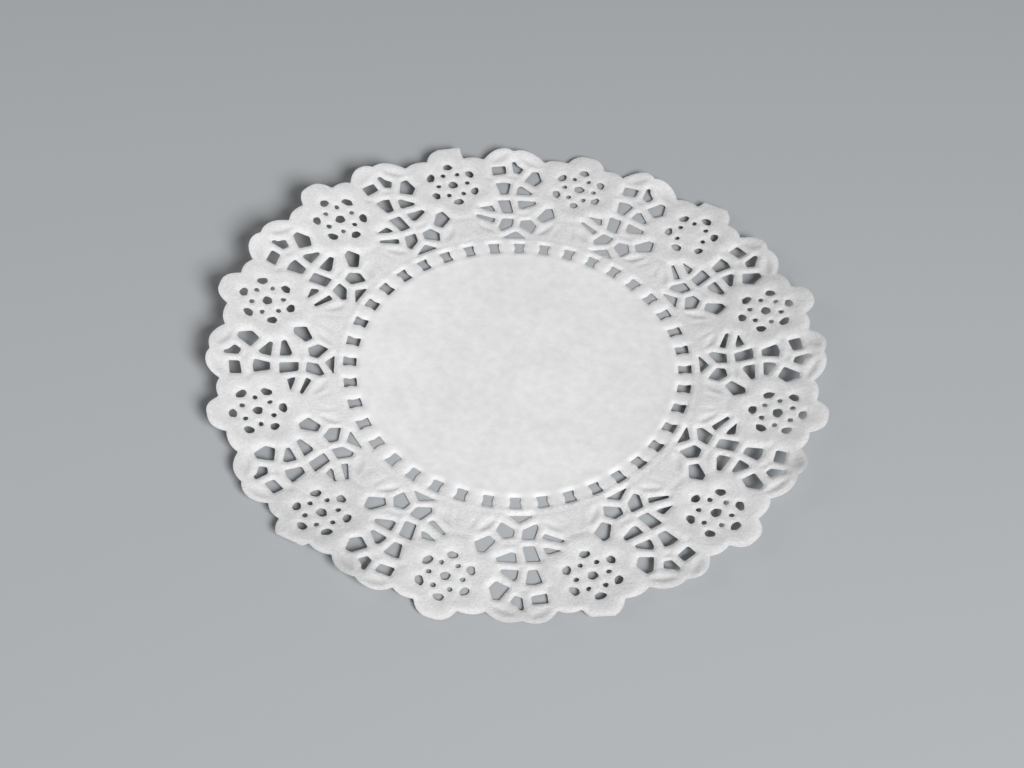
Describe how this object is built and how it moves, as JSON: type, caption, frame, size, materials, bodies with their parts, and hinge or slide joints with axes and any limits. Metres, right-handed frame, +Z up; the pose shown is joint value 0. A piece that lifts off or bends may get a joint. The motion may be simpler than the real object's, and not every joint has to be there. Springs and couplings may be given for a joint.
{
  "type": "paper doily",
  "caption": "Round white paper doily: a plain middle, a ring of perforations and a die-cut lace border with a scalloped rim, lying with its sides gently lifted.",
  "frame": {"origin": "middle of the sheet, on the surface that it lies on", "axes": "+Z up out of the surface, +Y away from the viewer of the picture, +X to the viewer's right"},
  "size_m": [0.1616, 0.1616, 0.0105],
  "materials": {
    "white_paper": "matt, embossed, faintly mottled"
  },
  "bodies": {
    "root": {"doily": "white_paper"}
  },
  "joints": []
}
